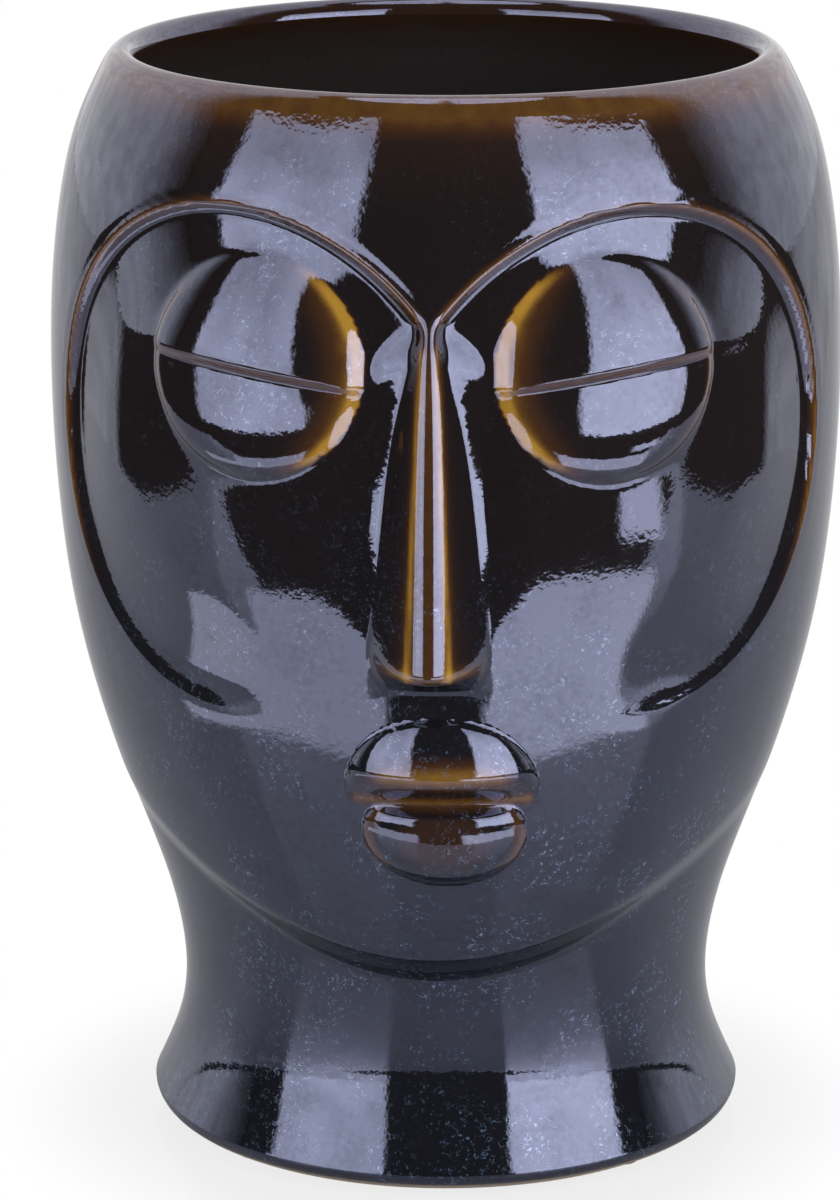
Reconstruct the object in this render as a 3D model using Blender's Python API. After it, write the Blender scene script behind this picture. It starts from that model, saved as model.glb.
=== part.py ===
"""A glazed ceramic planter in the shape of a head.

A turned hollow pot carries a modelled face, a soft stopper closes the drain hole in its floor, and felt
pads lie under its foot. Metres, +Z up, the face looks along -Y and the pads stand on z = 0.
"""

import math

import bmesh
import bpy
import numpy as np

# Driving sizes of the turned pot
HEIGHT = 0.235
HEAD_RADIUS = 0.08475
MOUTH_RADIUS = 0.0653
RIM_THICKNESS = 0.00767
RIM_CROWN_INSET = 0.0004
WALL = 0.007
FLOOR_THICKNESS = 0.008
FOOT_RECESS = 0.003
FOOT_EDGE = 0.0045
FOOT_RING_WIDTH = 0.009
DRAIN_RADIUS = 0.008

# The pot's side outline, as (share of the height, share of the head's radius), foot to rim
SILHOUETTE = (
    (0.019, 0.766),
    (0.077, 0.701),
    (0.119, 0.682),
    (0.170, 0.691),
    (0.230, 0.730),
    (0.304, 0.802),
    (0.398, 0.888),
    (0.489, 0.950),
    (0.596, 0.988),
    (0.706, 1.000),
    (0.809, 0.989),
    (0.877, 0.964),
    (0.940, 0.917),
    (0.983, (MOUTH_RADIUS + RIM_THICKNESS) / HEAD_RADIUS),
)

# The face is laid out on a sheet wrapped round the head: arc lengths are taken at this radius
SHEET_RADIUS = 0.080

# The mask line is an ellipse on each side, and the two meet in a point above the nose
MASK_ASIDE = 0.043
MASK_LEVEL = 0.681 * HEIGHT
MASK_HALF_WIDTH = 0.052
MASK_HALF_HEIGHT = 0.053
MASK_LIP = 0.0009
MASK_LOW_LIP = 0.0001
MASK_LIP_OUTER_FADE = 0.0030
MASK_LIP_INNER_FADE = 0.0013
MASK_TROUGH = 0.0024
MASK_LOW_TROUGH = 0.0008
MASK_RAMP = 0.0032
MASK_PILLOW = 0.030

# Closed eyes: a raised disc with an upper lid that steps out over it
EYE_ASIDE = 0.0352
EYE_LEVEL = 0.7725 * HEIGHT
EYE_RADIUS = 0.0226
EYE_RISE = 0.0026
EYE_LEAN = 0.10
EYE_EDGE_SOFTNESS = 0.12
LID_STEP = 0.0020
LID_EDGE = 0.0027
LID_TILT = math.radians(7.0)
LID_BOW = 0.036

# A soft hollow between each eye and the bridge of the nose
SOCKET_DEPTH = 0.003
SOCKET_ASIDE = 0.013
SOCKET_LEVEL = 0.725 * HEIGHT
SOCKET_HALF_WIDTH = 0.009
SOCKET_HALF_HEIGHT = 0.024

# A straight wedge of a nose, which grows from the mask's point down to its tip
NOSE_TOP = 0.800 * HEIGHT
NOSE_TIP = 0.513 * HEIGHT
NOSE_TOP_REACH = 0.0868
NOSE_TIP_REACH = 0.0950
NOSE_TOP_HALF_WIDTH = 0.0027
NOSE_TIP_HALF_WIDTH = 0.0126
RIDGE_TOP_HALF_WIDTH = 0.0008
RIDGE_TIP_HALF_WIDTH = 0.0020
NOSE_UNDERSIDE = 0.0050
NOSE_WING_LIFT = 0.0040
NOSE_TOP_FADE = 0.010
NOSE_FOOT_ROUNDING = 0.30
RIDGE_ROUNDING = 0.26

# Full lips with a ledge between them; the lower face leans a little to one side
MOUTH_LEVEL = 0.393 * HEIGHT
MUZZLE_RISE = 0.0018
MUZZLE_HALF_WIDTH = 0.030
MUZZLE_HALF_HEIGHT = 0.023
UPPER_LIP_HALF_WIDTH = 0.0205
UPPER_LIP_HEIGHT = 0.0160
UPPER_LIP_RISE = 0.0070
LOWER_LIP_HALF_WIDTH = 0.0178
LOWER_LIP_HEIGHT = 0.0200
LOWER_LIP_RISE = 0.0054
LIP_LEAN = 0.16
LIP_LEDGE = 0.0092
JAW_LEAN = math.radians(3.0)
JAW_LEAN_LEVEL = 0.596 * HEIGHT

# The chin's edge: how far it stands out of the turned form, and how it climbs towards the ears
CHIN_LEVEL = 0.2235 * HEIGHT
CHIN_RISE = 0.0062
CHIN_DROP = 0.0075
CHIN_FADE = 0.062
CHIN_SPREAD = math.radians(48.0)
JAW_CLIMB = 0.028

# Stopper and pads
FIT_GAP = 0.0003
STOPPER_FLANGE_RADIUS = 0.014
STOPPER_FLANGE = 0.0024
STOPPER_STEM_DROP = 0.0008
STOPPER_NECK_RADIUS = 0.0032
STOPPER_NECK = 0.0045
STOPPER_KNOB_RADIUS = 0.0062
STOPPER_KNOB = 0.0056
PAD_RADIUS = 0.0038
PAD_THICKNESS = 0.0012
PAD_TURNS = {"front_left": -135.0, "front_right": -45.0, "back_right": 45.0, "back_left": 135.0}

# Mesh fineness
POT_STEPS = 320
POT_ROW = 0.0016
POT_FACES = 7600
STOPPER_STEPS = 28
PAD_STEPS = 24

# Levels worked out from the sizes above
RIM_LEVEL = SILHOUETTE[-1][0] * HEIGHT
RIM_RADIUS = MOUTH_RADIUS + RIM_THICKNESS
FLOOR_TOP = FOOT_RECESS + FLOOR_THICKNESS
FOOT_RADIUS = SILHOUETTE[0][1] * HEAD_RADIUS
FOOT_FLAT_RADIUS = FOOT_RADIUS - FOOT_EDGE
FOOT_RING_INNER = FOOT_FLAT_RADIUS - FOOT_RING_WIDTH
STAND = PAD_THICKNESS + FIT_GAP


def ease(value, start, end):
    """A smooth step from 0 at start to 1 at end."""
    share = np.clip((value - start) / (end - start), 0.0, 1.0)
    return share * share * (3.0 - 2.0 * share)


def bell(value, width):
    """A smooth bump, 1 at 0, that has mostly gone at twice the width."""
    return np.exp(-((value / width) ** 2))


def straight_ramp(value, low_rounding, high_rounding):
    """0 below 0 and 1 above 1, straight between them, with the two corners rounded off."""

    def corner(at, rounding):
        return 0.5 * (at + np.sqrt(at * at + rounding * rounding))

    return np.clip(corner(value, low_rounding) - corner(value - 1.0, high_rounding), 0.0, 1.0)


def natural_spline(at, points):
    """The natural cubic spline through points of (place, value), read at an array of places."""
    places, values = np.array(points, dtype=float).T
    gaps = np.diff(places)
    count = len(places)
    system = np.eye(count)
    bends = np.zeros(count)
    for i in range(1, count - 1):
        system[i, i - 1 : i + 2] = gaps[i - 1], 2.0 * (gaps[i - 1] + gaps[i]), gaps[i]
        bends[i] = 6.0 * ((values[i + 1] - values[i]) / gaps[i] - (values[i] - values[i - 1]) / gaps[i - 1])
    curve = np.linalg.solve(system, bends)
    at = np.clip(at, places[0], places[-1])
    k = np.clip(np.searchsorted(places, at) - 1, 0, count - 2)
    before = at - places[k]
    after = places[k + 1] - at
    cubic = (curve[k] * after**3 + curve[k + 1] * before**3) / (6.0 * gaps[k])
    left = (values[k] / gaps[k] - curve[k] * gaps[k] / 6.0) * after
    right = (values[k + 1] / gaps[k] - curve[k + 1] * gaps[k] / 6.0) * before
    return cubic + left + right


def turned_radius(level):
    """The radius of the plain turned outside at each level."""
    return HEAD_RADIUS * natural_spline(np.asarray(level) / HEIGHT, SILHOUETTE)


def chin_relief(angle, level):
    """The jaw stands out of the neck with an edge that climbs towards the ears."""
    turn = np.clip(angle, -math.pi / 2, math.pi / 2)
    edge = CHIN_LEVEL + JAW_CLIMB * np.sin(turn) ** 2
    under = ease(level, edge - CHIN_DROP, edge + 0.3 * CHIN_DROP)
    over = 1.0 - ease(level, edge, edge + CHIN_FADE)
    return CHIN_RISE * under * over * bell(angle, CHIN_SPREAD)


def mask_relief(away, level):
    """A proud lip along the mask line, a trough inside it and a cheek that swells back up."""
    across = (away - MASK_ASIDE) / MASK_HALF_WIDTH
    along = (level - MASK_LEVEL) / MASK_HALF_HEIGHT
    outside = (np.hypot(across, along) - 1.0) * 0.5 * (MASK_HALF_WIDTH + MASK_HALF_HEIGHT)
    turn = np.degrees(np.arctan2(along, across))
    drawn = ease(turn, -125.0, -70.0) * ease(-turn, -150.0, -141.0)
    lower = ease(-turn, -20.0, 50.0)
    ramp = MASK_RAMP * (1.0 + 0.6 * lower)
    depth = MASK_TROUGH + (MASK_LOW_TROUGH - MASK_TROUGH) * lower
    lip_fade = np.where(outside > 0.0, MASK_LIP_OUTER_FADE, MASK_LIP_INNER_FADE)
    lip = (MASK_LIP + (MASK_LOW_LIP - MASK_LIP) * lower) * bell(outside, lip_fade)
    trough = -depth * ease(-outside, 0.0, ramp) * (1.0 - ease(-outside, ramp, MASK_PILLOW))
    return (lip + trough) * drawn


def socket_relief(away, level):
    """A soft hollow on each side of the bridge of the nose."""
    across = bell(away - SOCKET_ASIDE, SOCKET_HALF_WIDTH)
    return -SOCKET_DEPTH * across * bell(level - SOCKET_LEVEL, SOCKET_HALF_HEIGHT)


def eye_relief(away, level):
    """A disc that leans back at its top and eases into the cheek, with a level-edged lid on it."""
    across = away - EYE_ASIDE
    above = level - EYE_LEVEL
    share = np.hypot(across, above) / EYE_RADIUS
    fall = 1.0 - share**6
    dome = np.sqrt(0.5 * (fall + np.sqrt(fall**2 + EYE_EDGE_SOFTNESS**2)))
    disc = (EYE_RISE - EYE_LEAN * above) * dome
    bow = LID_BOW * (across**2 / EYE_RADIUS - EYE_RADIUS)
    over_edge = above - math.tan(LID_TILT) * across + bow + 0.5 * LID_STEP
    lid = LID_STEP * ease(over_edge, -0.55 * LID_EDGE, 0.45 * LID_EDGE)
    lid *= dome * (1.0 - 0.45 * ease(above, 0.0, EYE_RADIUS))
    return disc + lid


def mouth_relief(side, level):
    """Two lips on a soft swelling: the upper one ends below in a ledge that stands over the lower one."""
    lean = math.tan(JAW_LEAN) * np.clip(JAW_LEAN_LEVEL - level, 0.0, None)
    across = side - lean
    above = level - MOUTH_LEVEL
    muzzle = MUZZLE_RISE * bell(across, MUZZLE_HALF_WIDTH) * bell(above, MUZZLE_HALF_HEIGHT)
    upper_shape = 1.0 - (across / UPPER_LIP_HALF_WIDTH) ** 2 - (above / UPPER_LIP_HEIGHT) ** 2
    upper = (UPPER_LIP_RISE - LIP_LEAN * above) * np.clip(upper_shape, 0.0, 1.0) ** 0.7
    upper *= ease(above, -0.28 * LIP_LEDGE, 0.72 * LIP_LEDGE)
    below = above + 0.43 * LOWER_LIP_HEIGHT
    lower_shape = 1.0 - (across / LOWER_LIP_HALF_WIDTH) ** 2 - (below / (0.57 * LOWER_LIP_HEIGHT)) ** 2
    lower = (LOWER_LIP_RISE - LIP_LEAN * below) * np.clip(lower_shape, 0.0, 1.0) ** 0.6
    lower *= ease(-above, 0.1 * LIP_LEDGE, 0.42 * LIP_LEDGE)
    return muzzle + np.maximum(upper, lower)


def with_nose(radius, side, level):
    """The radius with the nose's straight wedge laid over the face."""
    down = np.clip((NOSE_TOP - level) / (NOSE_TOP - NOSE_TIP), 0.0, 1.0)
    reach = NOSE_TOP_REACH + (NOSE_TIP_REACH - NOSE_TOP_REACH) * down
    foot = NOSE_TOP_HALF_WIDTH + (NOSE_TIP_HALF_WIDTH - NOSE_TOP_HALF_WIDTH) * down**0.8
    ridge = RIDGE_TOP_HALF_WIDTH + (RIDGE_TIP_HALF_WIDTH - RIDGE_TOP_HALF_WIDTH) * down
    flank = straight_ramp((foot - np.abs(side)) / (foot - ridge), NOSE_FOOT_ROUNDING, RIDGE_ROUNDING)
    edge = NOSE_TIP + NOSE_WING_LIFT * np.minimum(np.abs(side) / NOSE_TIP_HALF_WIDTH, 1.0) ** 4
    below = ease(level, edge - NOSE_UNDERSIDE, edge + 0.3 * NOSE_UNDERSIDE)
    above = 1.0 - ease(level, NOSE_TOP - 0.3 * NOSE_TOP_FADE, NOSE_TOP + 0.7 * NOSE_TOP_FADE)
    return radius + (reach - radius) * flank * below * above


def face_radius(angle, level):
    """The outside radius at an angle from the face's middle, positive towards +X, and a level."""
    side = SHEET_RADIUS * angle
    away = np.abs(side)
    radius = turned_radius(level) + chin_relief(angle, level) + mask_relief(away, level)
    radius = radius + socket_relief(away, level) + eye_relief(away, level) + mouth_relief(side, level)
    return with_nose(radius, side, level)


def axis_behind_middle():
    """How far the turned axis lies behind the planter's middle, because the nose stands out in front."""
    levels = np.arange(FOOT_EDGE, RIM_LEVEL, POT_ROW)
    front = face_radius(np.zeros_like(levels), levels).max()
    return 0.5 * (front - turned_radius(levels).max())


def arc(centre, radii, start, end, count):
    """Points of an elliptical arc in (radius, level), from one angle in degrees to another."""
    angles = np.radians(np.linspace(start, end, count))
    return [(centre[0] + radii[0] * math.cos(a), centre[1] + radii[1] * math.sin(a)) for a in angles]


def pot_section():
    """The pot's closed section as (radius, level), up the outside, over the rim and down the inside."""
    low = SILHOUETTE[0][0] * HEIGHT
    rows = round((RIM_LEVEL - low) / POT_ROW)
    outside_levels = np.linspace(low, RIM_LEVEL, rows + 1)
    outside = list(zip(turned_radius(outside_levels), outside_levels))
    crown = 0.5 * (RIM_RADIUS + MOUTH_RADIUS) - RIM_CROWN_INSET
    rim_height = HEIGHT - RIM_LEVEL
    rim_out = arc((crown, RIM_LEVEL), (RIM_RADIUS - crown, rim_height), 0.0, 90.0, 6)[1:]
    rim_in = arc((crown, RIM_LEVEL), (crown - MOUTH_RADIUS, rim_height), 90.0, 180.0, 6)[1:]
    neck_level = SILHOUETTE[2][0] * HEIGHT
    neck_inside = float(turned_radius(neck_level)) - WALL
    inside_levels = np.linspace(RIM_LEVEL - 1.5 * WALL, neck_level, 26)
    inside = list(zip(turned_radius(inside_levels) - WALL, inside_levels))
    fillet = neck_level - FLOOR_TOP
    corner = arc((neck_inside - fillet, neck_level), (fillet, fillet), 0.0, -90.0, 7)[1:]
    drain = [(DRAIN_RADIUS, FLOOR_TOP), (DRAIN_RADIUS, FOOT_RECESS)]
    recess = [(FOOT_RING_INNER, FOOT_RECESS), (FOOT_RING_INNER, 0.0)]
    foot_edge = arc((FOOT_FLAT_RADIUS, FOOT_EDGE), (FOOT_EDGE, FOOT_EDGE), -90.0, 0.0, 6)[:-1]
    return outside + rim_out + rim_in + inside + corner + drain + recess + foot_edge


def material(name, colour, roughness, metallic=0.0):
    """A plain surface of one colour."""
    made = bpy.data.materials.new(name)
    made.use_nodes = True
    surface = made.node_tree.nodes["Principled BSDF"]
    surface.inputs["Base Color"].default_value = (*colour, 1.0)
    surface.inputs["Roughness"].default_value = roughness
    surface.inputs["Metallic"].default_value = metallic
    return made


def turned_mesh(name, section, steps, closed):
    """The mesh of a section of (radius, level) spun about Z; an open section starts and ends on the axis."""
    shape = bmesh.new()
    verts = [shape.verts.new((radius, 0.0, level)) for radius, level in section]
    edges = [shape.edges.new(pair) for pair in zip(verts, verts[1:])]
    if closed:
        edges.append(shape.edges.new((verts[-1], verts[0])))
    bmesh.ops.spin(
        shape, geom=verts + edges, cent=(0.0, 0.0, 0.0), axis=(0.0, 0.0, 1.0), angle=math.tau, steps=steps,
        use_merge=True,
    )
    bmesh.ops.remove_doubles(shape, verts=shape.verts, dist=1e-6)
    bmesh.ops.recalc_face_normals(shape, faces=shape.faces)
    mesh = bpy.data.meshes.new(name)
    shape.to_mesh(mesh)
    shape.free()
    mesh.shade_smooth()
    return mesh


def add_object(name, mesh, surface, place, parent):
    """An object of the given mesh and material, placed under the pot's stand."""
    made = bpy.data.objects.new(name, mesh)
    mesh.materials.clear()
    mesh.materials.append(surface)
    made.location = place
    made.parent = parent
    bpy.context.scene.collection.objects.link(made)
    return made


def model_face(mesh):
    """Moves the points of the pot's outside from the turned form out or in to the face's form."""
    points = np.empty(3 * len(mesh.vertices))
    mesh.vertices.foreach_get("co", points)
    points = points.reshape(-1, 3)
    turned = np.hypot(points[:, 0], points[:, 1])
    level = points[:, 2]
    on_outside = np.abs(turned - turned_radius(level)) < 1e-6
    on_outside &= (level > SILHOUETTE[1][0] * HEIGHT) & (level < RIM_LEVEL)
    angle = np.arctan2(points[:, 0], -points[:, 1])
    radius = np.where(on_outside, face_radius(angle, level), turned)
    points[:, :2] *= (radius / turned)[:, None]
    mesh.vertices.foreach_set("co", points.ravel())
    mesh.update()


def add_pot(stand):
    """The ceramic pot: one turned, face-modelled and fired piece."""
    mesh = turned_mesh("pot_shell", pot_section(), POT_STEPS, closed=True)
    model_face(mesh)
    triangles = 2 * len(mesh.polygons)
    pot = add_object("pot_shell", mesh, material("dark_glaze", (0.012, 0.009, 0.008), 0.08), (0, 0, 0), stand)
    thin = pot.modifiers.new("fewer_faces", "DECIMATE")
    thin.ratio = POT_FACES / triangles


def add_stopper(stand):
    """The drain stopper: a stem in the hole, a flange on the floor and a knob to pull it by."""
    stem_radius = DRAIN_RADIUS - FIT_GAP
    bottom = -FLOOR_THICKNESS - FIT_GAP - STOPPER_STEM_DROP
    neck_top = STOPPER_FLANGE + STOPPER_NECK
    knob_middle = neck_top + 0.5 * STOPPER_KNOB
    section = [(0.0, bottom), (0.8 * stem_radius, bottom), (stem_radius, bottom + 0.2 * stem_radius)]
    section += [(stem_radius, 0.0), (STOPPER_FLANGE_RADIUS, 0.0)]
    section += arc(
        (STOPPER_FLANGE_RADIUS - STOPPER_FLANGE, 0.0), (STOPPER_FLANGE, STOPPER_FLANGE), 30.0, 90.0, 4
    )
    section += [(STOPPER_NECK_RADIUS, STOPPER_FLANGE)]
    section += arc((0.0, knob_middle), (STOPPER_KNOB_RADIUS, 0.5 * STOPPER_KNOB), -58.0, 90.0, 10)
    section[-1] = (0.0, neck_top + STOPPER_KNOB)
    mesh = turned_mesh("drain_stopper", section, STOPPER_STEPS, closed=False)
    surface = material("grey_silicone", (0.18, 0.18, 0.17), 0.55)
    add_object("drain_stopper", mesh, surface, (0, 0, FLOOR_TOP + FIT_GAP), stand)


def add_pads(stand):
    """Four felt pads stuck under the foot ring."""
    felt = material("felt", (0.10, 0.085, 0.07), 0.95)
    ring_middle = FOOT_FLAT_RADIUS - 0.5 * FOOT_RING_WIDTH
    edge = 0.25 * PAD_THICKNESS
    section = [(0.0, 0.0), (PAD_RADIUS - edge, 0.0), (PAD_RADIUS, edge)]
    section += [(PAD_RADIUS, PAD_THICKNESS), (0.0, PAD_THICKNESS)]
    for place, turn in PAD_TURNS.items():
        around = math.radians(turn)
        centre = (ring_middle * math.cos(around), ring_middle * math.sin(around), -STAND)
        mesh = turned_mesh(f"foot_pad_{place}", section, PAD_STEPS, closed=False)
        add_object(f"foot_pad_{place}", mesh, felt, centre, stand)


def main():
    """Clears the scene and builds the planter under one empty on the pot's axis."""
    for old in list(bpy.data.objects):
        bpy.data.objects.remove(old)
    stand = bpy.data.objects.new("pot_axis", None)
    stand.location = (0.0, axis_behind_middle(), STAND)
    bpy.context.scene.collection.objects.link(stand)
    add_pot(stand)
    add_stopper(stand)
    add_pads(stand)


if __name__ == "__main__":
    main()
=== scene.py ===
"""Looks of a glazed ceramic planter in the shape of a head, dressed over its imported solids.

Metres, +Z up. The face looks along -Y and the felt pads stand on z = 0. An angle round the pot is taken
from the middle of the face, positive towards +X, so a point at radius r lies at x = r sin(angle),
y = axis - r cos(angle).
"""

import logging
import math
from dataclasses import dataclass, field
from enum import Enum

import bpy
import numpy as np
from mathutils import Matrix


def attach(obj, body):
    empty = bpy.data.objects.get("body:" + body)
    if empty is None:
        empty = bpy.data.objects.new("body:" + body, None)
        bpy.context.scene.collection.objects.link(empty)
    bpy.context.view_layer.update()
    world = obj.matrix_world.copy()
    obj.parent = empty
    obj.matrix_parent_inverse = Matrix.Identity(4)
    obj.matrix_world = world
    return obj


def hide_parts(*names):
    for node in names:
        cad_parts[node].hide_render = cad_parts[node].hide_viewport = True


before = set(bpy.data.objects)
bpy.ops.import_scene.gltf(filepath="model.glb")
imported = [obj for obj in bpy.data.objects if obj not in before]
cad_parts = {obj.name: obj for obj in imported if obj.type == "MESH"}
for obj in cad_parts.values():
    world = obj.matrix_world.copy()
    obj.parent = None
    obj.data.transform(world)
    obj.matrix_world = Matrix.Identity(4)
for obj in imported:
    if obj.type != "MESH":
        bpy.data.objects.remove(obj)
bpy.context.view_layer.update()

log = logging.getLogger("head_planter")

Pair = tuple[float, float]
Point = tuple[float, float, float]
Colour = tuple[float, float, float]
Socket = bpy.types.NodeSocket
Value = Socket | float | tuple
Array = np.ndarray
Piece = bpy.types.Object


class Body(Enum):
    """The planter's two moving bodies."""

    POT = "pot"
    STOPPER = "stopper"


class Slot(Enum):
    """The record's material slots."""

    GLAZE = "dark_glaze"
    SILICONE = "silicone"
    FELT = "felt"


class PadPlace(Enum):
    """Where each felt pad sits, in degrees round the foot from +X."""

    FRONT_LEFT = -135.0
    FRONT_RIGHT = -45.0
    BACK_RIGHT = 45.0
    BACK_LEFT = 135.0


class Sum(Enum):
    """The sums that the finishes do on their patterns."""

    ADD = "ADD"
    LESS = "SUBTRACT"
    TIMES = "MULTIPLY"
    SIZE = "ABSOLUTE"
    MOST = "MAXIMUM"


def smooth_step(value: Array, start: Array | float, end: Array | float) -> Array:
    """A smooth step: 3s^2 - 2s^3, where s runs from 0 at start to 1 at end.

    Args:
        value: Where the step is read.
        start: Where it leaves 0.
        end: Where it reaches 1.

    Returns:
        The step at each value.
    """
    share = np.clip((value - start) / (end - start), 0.0, 1.0)
    return share * share * (3.0 - 2.0 * share)


def between(value: Array, start: float, end: float, fade: float) -> Array:
    """A share that climbs from 0 at start to 1 over a fade, and falls to 0 again over a fade before end."""
    return smooth_step(value, start, start + fade) * smooth_step(-value, -end, -end + fade)


def swell(value: Array, width: float) -> Array:
    """A smooth swelling exp(-(value / width)^2), 1 in its middle."""
    return np.exp(-((value / width) ** 2))


def mixed(first: float, second: float, share: Array) -> Array:
    """A value that goes straight from the first to the second as a share goes from 0 to 1."""
    return first + (second - first) * share


def rounded_ramp(value: Array, low: Array, high: float) -> Array:
    """A straight ramp from 0 to 1 whose corners are hyperbolas: the difference of two, one unit apart.

    Args:
        value: Where the ramp is read; it climbs from 0 to 1.
        low: How round its lower corner is.
        high: How round its upper corner is.

    Returns:
        The ramp at each value.
    """
    foot = 0.5 * (value + np.sqrt(value**2 + low**2))
    head = 0.5 * (value - 1.0 + np.sqrt((value - 1.0) ** 2 + high**2))
    return np.clip(foot - head, 0.0, 1.0)


def quarter(centre: Pair, radii: Pair, start: float, end: float, count: int) -> Array:
    """Points of an elliptical arc in (radius, level).

    Args:
        centre: The ellipse's middle.
        radii: Its half width and half height.
        start: The first angle in degrees.
        end: The last angle in degrees.
        count: How many points.

    Returns:
        An array of count rows of (radius, level).
    """
    turn = np.radians(np.linspace(start, end, count))
    return np.stack((centre[0] + radii[0] * np.cos(turn), centre[1] + radii[1] * np.sin(turn)), axis=-1)


def grid_faces(rows: int, columns: int, rows_close: bool, columns_close: bool) -> Array:
    """The four-cornered faces of a grid of points, which may close on itself either way.

    Args:
        rows: How many rows of points.
        columns: How many points in a row.
        rows_close: Whether the last row joins the first.
        columns_close: Whether the last column joins the first.

    Returns:
        An array of faces, four point numbers each, wound to face outwards.
    """
    at = np.arange(rows * columns).reshape(rows, columns)
    right = np.roll(at, -1, axis=1)
    up = np.roll(at, -1, axis=0)
    corner = np.roll(right, -1, axis=0)
    faces = np.stack((at, right, corner, up), axis=-1)
    faces = faces[: rows if rows_close else rows - 1, : columns if columns_close else columns - 1]
    return faces.reshape(-1, 4)


def split_along(faces: Array, normals: Array) -> Array:
    """Turns each of a grid's first faces so that its diagonal joins the two corners with closer normals.

    A four-cornered face is split from its first corner to its third, so a face is turned by one corner
    where the other diagonal is the better one.

    Args:
        faces: The grid's faces, row by row.
        normals: The normals at the points of its first rows, which close on themselves sideways.

    Returns:
        The faces, some of them turned.
    """
    beside = np.roll(normals, -1, axis=1)
    rising = np.sum(normals[:-1] * beside[1:], axis=-1)
    falling = np.sum(beside[:-1] * normals[1:], axis=-1)
    turned_faces = faces.copy()
    chosen = np.flatnonzero(falling.ravel() > rising.ravel())
    turned_faces[chosen] = np.roll(faces[chosen], -1, axis=1)
    return turned_faces


def surface(name: str, points: Array, faces: list[list[int]]) -> Piece:
    """A smooth mesh object at the origin, with its place in its points.

    Args:
        name: The piece's name.
        points: Rows of x, y and z.
        faces: Point numbers, three or four for each face.

    Returns:
        The object, linked to the scene.
    """
    mesh = bpy.data.meshes.new(name)
    mesh.from_pydata(points.reshape(-1, 3), [], faces)
    mesh.validate()
    mesh.shade_smooth()
    piece = bpy.data.objects.new(name, mesh)
    bpy.context.scene.collection.objects.link(piece)
    return piece


def carry(piece: Piece, name: str, share: Array) -> None:
    """Stores a share at each point of a piece's mesh, for its material to read."""
    values = piece.data.attributes.new(name, "FLOAT", "POINT")
    values.data.foreach_set("value", share.astype(np.float32).ravel())


def turned(name: str, section: Array, columns: int, centre: Point) -> Piece:
    """A closed turned piece: each (radius, level) of a section is carried round a full circle.

    The first and the last point of the section lie on the axis, where the circle shrinks to one point.

    Args:
        name: The piece's name.
        section: Rows of (radius, level), from the axis below to the axis above.
        columns: How many steps the circle has.
        centre: The axis, and the level that the section starts from.

    Returns:
        The object.
    """
    turn = np.linspace(0.0, math.tau, columns, endpoint=False)
    radius, level = section[1:-1, 0], section[1:-1, 1]
    x, y = np.outer(radius, np.cos(turn)), np.outer(radius, np.sin(turn))
    ring = np.stack((x, y, np.outer(level, np.ones(columns))), axis=-1)
    poles = np.array([(0.0, 0.0, section[0, 1]), (0.0, 0.0, section[-1, 1])])
    points = np.concatenate((ring.reshape(-1, 3), poles)) + np.array(centre)
    sides = grid_faces(len(level), columns, False, True).tolist()
    first = np.arange(columns)
    last = first + (len(level) - 1) * columns
    below = np.stack((np.roll(first, -1), first, np.full(columns, len(points) - 2)), axis=-1).tolist()
    above = np.stack((last, np.roll(last, -1), np.full(columns, len(points) - 1)), axis=-1).tolist()
    return surface(name, points, sides + below + above)


@dataclass(frozen=True)
class TurnedOutline:
    """The pot's plain turned outside, before the face is modelled on it: shares of height and radius."""

    height: float = 0.235
    head_radius: float = 0.08475
    shares: tuple[Pair, ...] = (
        (0.019, 0.766), (0.077, 0.701), (0.119, 0.682), (0.170, 0.691), (0.230, 0.730),
        (0.304, 0.802), (0.398, 0.888), (0.489, 0.950), (0.596, 0.988), (0.706, 1.000),
        (0.809, 0.989), (0.877, 0.964), (0.940, 0.917), (0.983, 0.861),
    )

    def radius(self, level: Array) -> Array:
        """The natural cubic spline through the outline's points, read at each level.

        Args:
            level: Heights above the foot.

        Returns:
            The radius at each level.
        """
        place, value = np.array(self.shares).T
        gap = np.diff(place)
        system = np.diag(np.r_[1.0, 2.0 * (gap[:-1] + gap[1:]), 1.0])
        system += np.diag(np.r_[gap[:-1], 0.0], -1) + np.diag(np.r_[0.0, gap[1:]], 1)
        bend = np.linalg.solve(system, np.r_[0.0, 6.0 * np.diff(np.diff(value) / gap), 0.0])
        at = np.clip(np.asarray(level) / self.height, place[0], place[-1])
        k = np.clip(np.searchsorted(place, at) - 1, 0, len(gap) - 1)
        before, after = at - place[k], place[k + 1] - at
        cubic = (bend[k] * after**3 + bend[k + 1] * before**3) / (6.0 * gap[k])
        left = (value[k] / gap[k] - bend[k] * gap[k] / 6.0) * after
        right = (value[k + 1] / gap[k] - bend[k + 1] * gap[k] / 6.0) * before
        return self.head_radius * (cubic + left + right)

    def level_of(self, point: int) -> float:
        """The level of one of the outline's points."""
        return self.shares[point][0] * self.height

    def radius_of(self, point: int) -> float:
        """The radius of one of the outline's points."""
        return self.shares[point][1] * self.head_radius


@dataclass(frozen=True)
class Jaw:
    """The jaw's edge, which stands out of the neck and climbs towards the ears."""

    level: float = 0.0525225
    rise: float = 0.0062
    drop: float = 0.0075
    fade: float = 0.062
    spread: float = math.radians(48.0)
    climb: float = 0.028

    def relief(self, angle: Array, level: Array) -> Array:
        """How far the jaw stands out: a step up at its edge times a slow fade above, most at the chin.

        Args:
            angle: Angles from the middle of the face.
            level: Heights above the foot.

        Returns:
            The relief at each place.
        """
        edge = self.level + self.climb * np.sin(np.clip(angle, -math.pi / 2, math.pi / 2)) ** 2
        under = smooth_step(level, edge - self.drop, edge + 0.3 * self.drop)
        over = 1.0 - smooth_step(level, edge, edge + self.fade)
        return self.rise * under * over * swell(angle, self.spread)


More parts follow.
